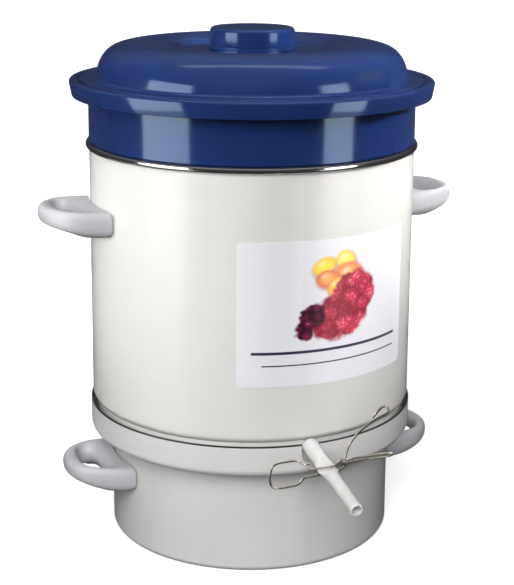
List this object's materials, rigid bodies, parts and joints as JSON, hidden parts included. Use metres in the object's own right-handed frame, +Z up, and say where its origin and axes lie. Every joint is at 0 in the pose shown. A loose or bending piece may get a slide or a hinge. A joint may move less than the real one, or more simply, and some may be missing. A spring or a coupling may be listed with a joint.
{
  "type": "steam juicer",
  "caption": "Stacked stove-top steam juicer for canning: stepped water pan, tall enamelled juice kettle with hose and clamp, blue fruit basket and domed lid.",
  "frame": {"origin": "middle of the underside of the water pan's base, on the common axis of the stacked vessels", "axes": "+Z up along the common axis; -Y is the front, where the juice hose and the label are; the handles stand out to +X and -X"},
  "size_m": [0.4086, 0.4312, 0.5061],
  "materials": {
    "enamel": "glossy vitreous enamel, warm white",
    "polished_rim": "polished stainless steel",
    "steel": "satin stainless steel",
    "handle_plastic": "satin grey moulded plastic",
    "label_film": "smooth white film",
    "silicone": "soft translucent silicone",
    "clamp_wire": "bright spring wire",
    "blue_plastic": "glossy dark blue plastic"
  },
  "bodies": {
    "pan": {"water_pan": "enamel", "pan_bracket_left": "steel", "pan_bracket_right": "steel", "pan_handle_left": "handle_plastic", "pan_handle_right": "handle_plastic", "pan_handle_screws": "steel"},
    "kettle": {"juice_kettle": "enamel", "steam_chimney": "enamel", "kettle_rim_ring": "polished_rim", "juice_spout": "steel", "kettle_bracket_left": "steel", "kettle_bracket_right": "steel", "kettle_handle_left": "handle_plastic", "kettle_handle_right": "handle_plastic", "kettle_handle_screws": "steel", "label": "label_film", "juice_hose": "silicone", "clamp_frame": "clamp_wire", "clamp_pin": "clamp_wire"},
    "basket": {"fruit_basket": "blue_plastic"},
    "lid": {"lid_shell": "blue_plastic", "lid_knob": "blue_plastic", "knob_washer": "steel", "knob_screw": "steel"},
    "clamp": {"clamp_lever": "clamp_wire"}
  },
  "joints": [
    {"name": "kettle_lift", "type": "slide", "parent": "pan", "child": "kettle", "axis": [0, 0, 1], "range_m": [0, 0.1]},
    {"name": "basket_lift", "type": "slide", "parent": "kettle", "child": "basket", "axis": [0, 0, 1], "range_m": [0, 0.2]},
    {"name": "lid_lift", "type": "slide", "parent": "basket", "child": "lid", "axis": [0, 0, 1], "range_m": [0, 0.1]},
    {"name": "clamp_squeeze", "type": "hinge", "parent": "kettle", "child": "clamp", "pos_m": [0.085, -0.18515, 0.13148], "axis": [-0.352, 0.917, 0.1874], "range_deg": [0, 24], "stiffness_Nm_per_rad": 0.5, "springref_deg": -5.73}
  ]
}
